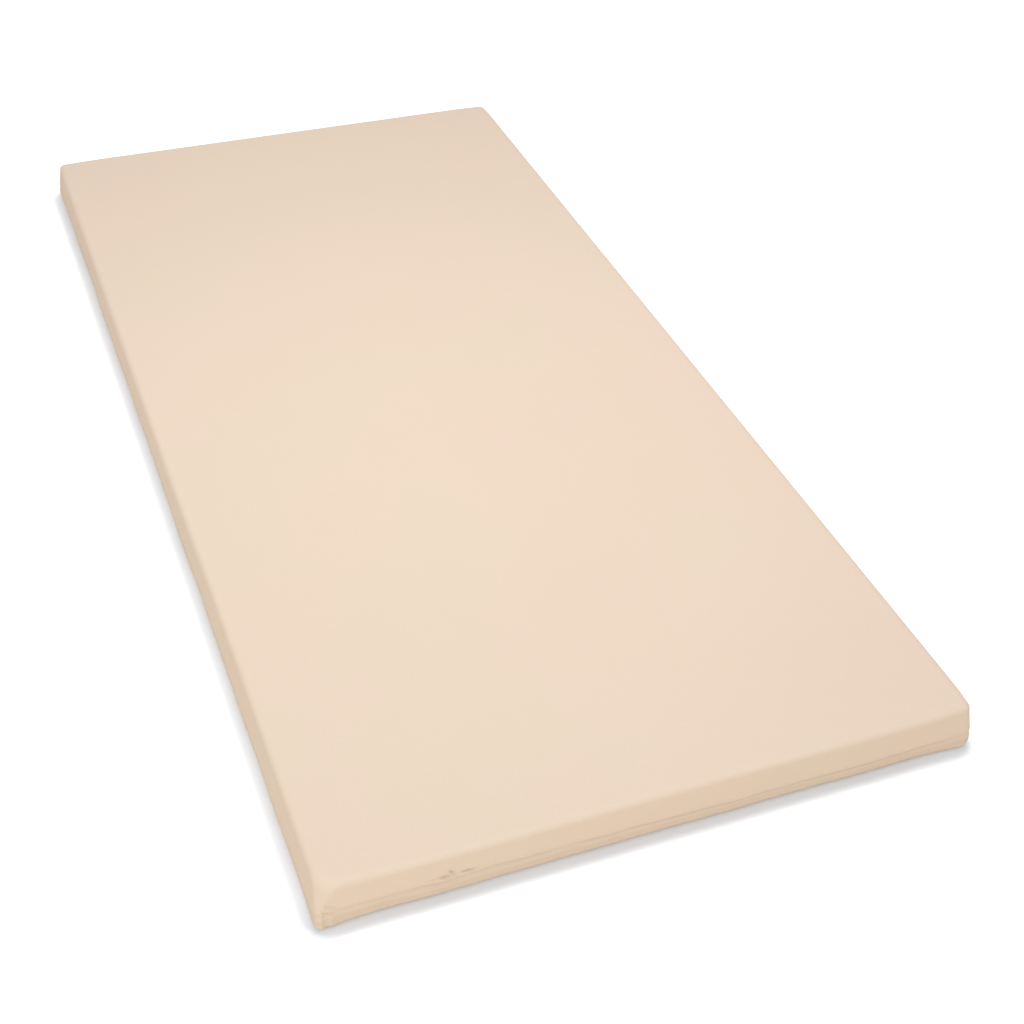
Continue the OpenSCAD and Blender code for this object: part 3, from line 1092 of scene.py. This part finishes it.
def slider():
    """Two plates joined by a web, with side walls on the front one and a bail over it."""
    low, high = box_mm("zip_slider")
    middle = (low[1] + high[1]) / 2
    half_l, half_w = (high[1] - low[1]) / 2, (high[2] - low[2]) / 2
    plate_t, wall = 1.0, ROW_OUT + FIT
    bail_top = high[0]
    front = bail_top - 2.3
    half = ((1.0, 0.55), (0.93, 0.80), (0.75, 0.95), (0.45, 1.0), (0.0, 0.97), (-0.45, 0.84), (-0.8, 0.80),
            (-0.95, 0.72), (-1.0, 0.55))
    outline = [(middle + half_l * y, z) for y, z in mirrored(half, half_w)]
    web = rounded(high[1] - 4, high[1] - 1, ZIP_Z - 0.2, ZIP_Z + 0.2, 0.18)
    made = [
        plate("slider_front", outline, [], front - plate_t, front, 0.25),
        plate("slider_back", outline, [], low[0], low[0] + plate_t, 0.25),
        plate("slider_web", web, [], low[0] + plate_t / 2, front - plate_t / 2, 0.05),
    ]
    for up in (-1, 1):
        z0, z1 = sorted((ZIP_Z + up * wall, ZIP_Z + up * (wall + 0.75)))
        side = rounded(low[1] + 2, high[1] - 1.5, z0, z1, 0.3)
        made.append(plate(f"slider_wall_{up + 1}", side, [], TAPE_HIGH[0] + FIT, front - plate_t / 2, 0.1))
    # the bail: a flat wire that rises, runs over the pull tab's bar and comes down
    bail_half, thick, wide, sunk = 3.2, 0.7, 1.2, 0.3
    rise = bail_top - front - thick / 2 + sunk
    rows = []
    for t in np.linspace(0, math.pi, 25):
        y = middle + (bail_half - thick / 2) * math.copysign(abs(math.cos(t)) ** 0.45, math.cos(t))
        rows.append((front - sunk + rise * math.sin(t) ** 0.45, y))
    rows = np.array(rows)
    along = unit(np.gradient(rows, axis=0))
    across = np.column_stack([along[:, 1], -along[:, 0]])
    section = [(thick / 2 * c, wide / 2 * d) for c, d in
               ((1, 0.6), (0.6, 1), (-0.6, 1), (-1, 0.6), (-1, -0.6), (-0.6, -1), (0.6, -1), (1, -0.6))]
    build = Build()
    build.tube([[(*(p + n * c), ZIP_Z + d) for c, d in section] for p, n in zip(rows, across)])
    made.append(build.mesh("slider_bail"))
    return joined("slider_body", made)


finish(slider(), "zip_slider", "zip_metal", ["zip_slider"])


def pull_tab():
    """A pressed tab: a window that the bail passes through, a narrower waist and a grip with a hole."""
    low, high = box_mm("zip_pull_tab")
    pivot_y = high[1] - 0.5
    half_w = (high[2] - low[2]) / 2
    end = low[1]
    side = [(pivot_y + 0.35, 0.9), (pivot_y - 1.0, 1.0), (pivot_y - 5.6, 0.97), (pivot_y - 8.5, 0.72),
            (pivot_y - 13.0, 0.70), (pivot_y - 18.0, 0.95), (end + 3.0, 1.0), (end + 1.2, 0.85),
            (end + 0.3, 0.55), (end, 0.2)]
    outline = mirrored(side, half_w)
    window = rounded(pivot_y - 5.0, pivot_y - 0.35, ZIP_Z - 0.95, ZIP_Z + 0.95, 0.3)
    grip = rounded(end + 2.4, end + 7.4, ZIP_Z - 1.25, ZIP_Z + 1.25, 1.2)
    made = [plate("tab_plate", outline, [window, grip], low[0] + 0.05, high[0] - 0.05, 0.2)]
    turns = 2 * math.pi * np.arange(10) / 10
    middle_x = (low[0] + high[0]) / 2
    bar = ((-half_w, 0.35), (-half_w + 0.15, 0.5), (half_w - 0.15, 0.5), (half_w, 0.35))
    build = Build()
    build.tube([[(middle_x + r * math.cos(a), pivot_y + r * math.sin(a), ZIP_Z + z) for a in turns]
                for z, r in bar])
    made.append(build.mesh("tab_bar"))
    return joined("pull_tab_plate", made)


finish(pull_tab(), "zip_pull_tab", "zip_metal", ["zip_pull_tab"])


# ---- inside the cover ----

TOP_NEST = 2.4
FLOOR_NEST = CLOTH + FIT
FOAM_NEST = LINER_CLOTH + FIT

liner = dict(cloth=LINER_CLOTH, lip=LINER_CLOTH, zipped=False)
liner_upper = shell("liner_top_cloth", even(LINER_RIM), 1, core_out, crowned(LINER_HIGH[2]),
                    less(top_radius, TOP_NEST), side_rows=8, net=40, **liner)
finish(liner_upper, BODY, "liner_knit", ["liner_top"])
liner_lower = shell("liner_bottom_cloth", even(LINER_RIM), -1, core_out, level(LINER_LOW[2]),
                    less(bottom_radius, FLOOR_NEST), side_rows=30, net=60, inner=np.linspace(0, 1, 16),
                    **liner)
finish(liner_lower, BODY, "liner_knit", ["liner_bottom"])
liner_thread = band("liner_overlock", grid_columns()[::3], SEW_LOW[2], SEW_HIGH[2], core_out,
                    inner=0.0, outer=0.6, rows=5, closed=True)
finish(liner_thread, BODY, "thread", ["liner_seam"])


SAWN = even(0.6)
memory = slab("memory_foam_slab", level(FOAM_LOW[2]), crowned(FOAM_HIGH[2]), SAWN,
              less(top_radius, TOP_NEST + FOAM_NEST))
finish(memory, BODY, "memory_foam", ["memory_foam"])
film = slab("glue_layer", level(GLUE_LOW[2]), level(GLUE_HIGH[2]), even(0.1), even(0.1))
finish(film, BODY, "glue", ["glue_film"])
support = slab("support_foam_slab", level(LINER_LOW[2] + FOAM_NEST), level(GLUE_LOW[2]),
               less(bottom_radius, FLOOR_NEST + FOAM_NEST), SAWN)
finish(support, BODY, "support_foam", ["support_foam"])


# the upright seam allowances behind the corners of the upper cloth
for corner, centre in zip(("foot_right", "head_right", "head_left", "foot_left"), CORNER_PLACES):
    s = centre + np.linspace(-7, 7, 15)
    allowance = band("corner_strip_" + corner, s, hem_height(s) + LAP + 1, np.full(len(s), SEAM_HIGH[2] - 3),
                     lambda s, z: upper_out(s, z) - slack(s), inner=-1.7, outer=-0.95)
    finish(allowance, BODY, "cover_cloth", ["corner_seam_" + corner])


# ---- floor, light and background ----

FLOOR_PALE = (0.76, 0.67, 0.56)
FLOOR_WHITE = (1.54, 1.61, 1.69)
CONTACT = 0.027


def greys(*stops):
    """Ramp stops for the floor's shade: grey, and cooler the darker they are."""
    return [(at, (value, value + 0.035 * (1 - value), value + 0.055 * (1 - value))) for at, value in stops]


def seen_ray(nodes):
    """1 for rays that show the floor or the backdrop, and 0 for those that light the mattress."""
    path = nodes.add("ShaderNodeLightPath")
    seen = nodes.maths("MAXIMUM", path.outputs["Is Camera Ray"], path.outputs["Is Glossy Ray"])
    return nodes.maths("MAXIMUM", seen, path.outputs["Is Transmission Ray"])


def floor_material():
    """Pale in the light that it throws back, and white where it is seen, with a soft contact shade."""
    nodes = Nodes("floor")
    tree = nodes.tree
    tree.nodes.remove(nodes.shader)
    diffuse = nodes.add("ShaderNodeBsdfDiffuse")
    # painted shadow: occlusion ramps darken the seen floor near the mattress, darker in front of the foot and
    # faded beside the zip side, over the real shadow
    sides = nodes.ramp(nodes.openness(CONTACT), *greys((0.5, 0.70), (0.7, 0.655), (0.8, 0.71), (0.86, 0.79),
                                                       (0.97, 1)))
    front = nodes.ramp(nodes.openness(CONTACT), *greys((0.5, 0.61), (0.7, 0.575), (0.8, 0.63), (0.86, 0.76),
                                                       (0.91, 0.93), (0.96, 1)))
    part = nodes.add("ShaderNodeSeparateXYZ")
    nodes.link(nodes.where, part.inputs[0])
    before = nodes.scaled(part.outputs["Y"], 0, 1, -(HALF[1] - 50) * MM, -HALF[1] * MM)
    beside = nodes.scaled(part.outputs["X"], 0, 0.7, (HALF[0] - 6) * MM, (HALF[0] + 16) * MM)
    shade = nodes.mix(beside, nodes.mix(before, sides, front), WHITE)
    shown = nodes.mix(1.0, shade, FLOOR_WHITE, "MULTIPLY")
    nodes.link(nodes.mix(seen_ray(nodes), FLOOR_PALE, shown), diffuse.inputs["Color"])
    nodes.link(diffuse.outputs[0], tree.nodes["Material Output"].inputs["Surface"])
    return nodes.material


floor_build = Build()
half_floor = 15000
just_below = -0.2
square = ((-1, -1), (1, -1), (1, 1), (-1, 1))
floor_build.ring([(x * half_floor, y * half_floor, just_below) for x, y in square])
floor_build.faces.append([0, 1, 2, 3])
floor = floor_build.mesh("floor")
floor.data.materials.append(floor_material())

world = bpy.data.worlds.new("studio")
scene.world = world
world.use_nodes = True
tree = world.node_tree
tree.nodes.clear()
SKY_STRENGTH = 0.66
SEEN_STRENGTH = 1.0
sky_nodes = NodeTree(tree)
pick = sky_nodes.add("ShaderNodeMixShader")
sky_nodes.link(seen_ray(sky_nodes), pick.inputs[0])
for socket, strength in ((1, SKY_STRENGTH), (2, SEEN_STRENGTH)):
    background = sky_nodes.add("ShaderNodeBackground", {"Color": (*WHITE, 1), "Strength": strength})
    sky_nodes.link(background.outputs[0], pick.inputs[socket])
sky_nodes.link(pick.outputs[0], sky_nodes.add("ShaderNodeOutputWorld").inputs["Surface"])


def lamp(name, at, aim, size, power):
    data = bpy.data.lights.new(name, "AREA")
    data.shape = "DISK"
    data.size = size
    data.energy = power
    light = bpy.data.objects.new(name, data)
    light.location = at
    light.visible_camera = False
    light.rotation_euler = (Vector(aim) - Vector(at)).to_track_quat("-Z", "Y").to_euler()
    scene.collection.objects.link(light)


lamp("key", at=(0.0, -0.1, 1.6), aim=(0.0, -0.1, 0.0), size=1.3, power=6.6)
lamp("overhead", at=(0.3, 0.5, 2.4), aim=(0.2, 0.3, 0.0), size=2.4, power=6)
lamp("front", at=(-1.0, -3.3, 1.3), aim=(-0.1, -0.6, 0), size=1.8, power=20)
lamp("left", at=(-3.0, -1.2, 1.3), aim=(-0.2, -0.5, 0), size=1.8, power=5)

scene.view_settings.view_transform = "Standard"
